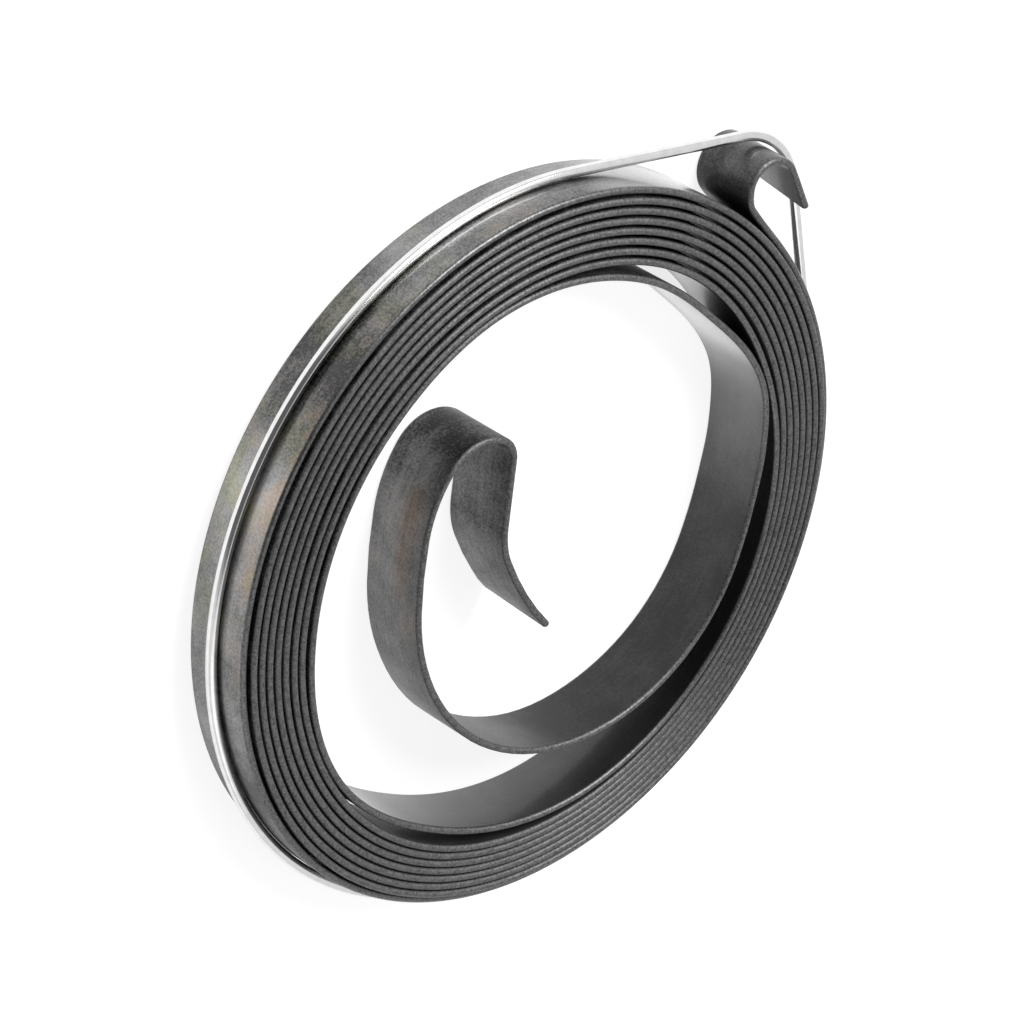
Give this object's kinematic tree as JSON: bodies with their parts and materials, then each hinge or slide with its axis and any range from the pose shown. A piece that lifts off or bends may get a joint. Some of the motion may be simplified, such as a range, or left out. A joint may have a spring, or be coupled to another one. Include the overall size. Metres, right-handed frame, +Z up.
{
  "type": "recoil starter spring",
  "caption": "Flat steel strip wound into a close spiral, with a turned-back hook at its outer end, a bent tail at its inner end, and a round wire hoop holding it wound.",
  "frame": {"origin": "centre of the outermost turn, on the plane of the strip's lower edge, which it lies on", "axes": "+Z up along the coil's axis, +X and +Y across the coil; the outer hook stands at 300 degrees from +X towards +Y and the strip runs inwards from it clockwise seen from +Z"},
  "size_m": [0.0775, 0.0788, 0.008],
  "materials": {
    "strip": "tempered spring steel, dark grey, semi-gloss faces with faint straw and brown heat tint, matt edges",
    "wire": "bright drawn steel wire, smooth"
  },
  "bodies": {
    "root": {"spring_strip": "strip", "retaining_wire": "wire"}
  },
  "joints": []
}
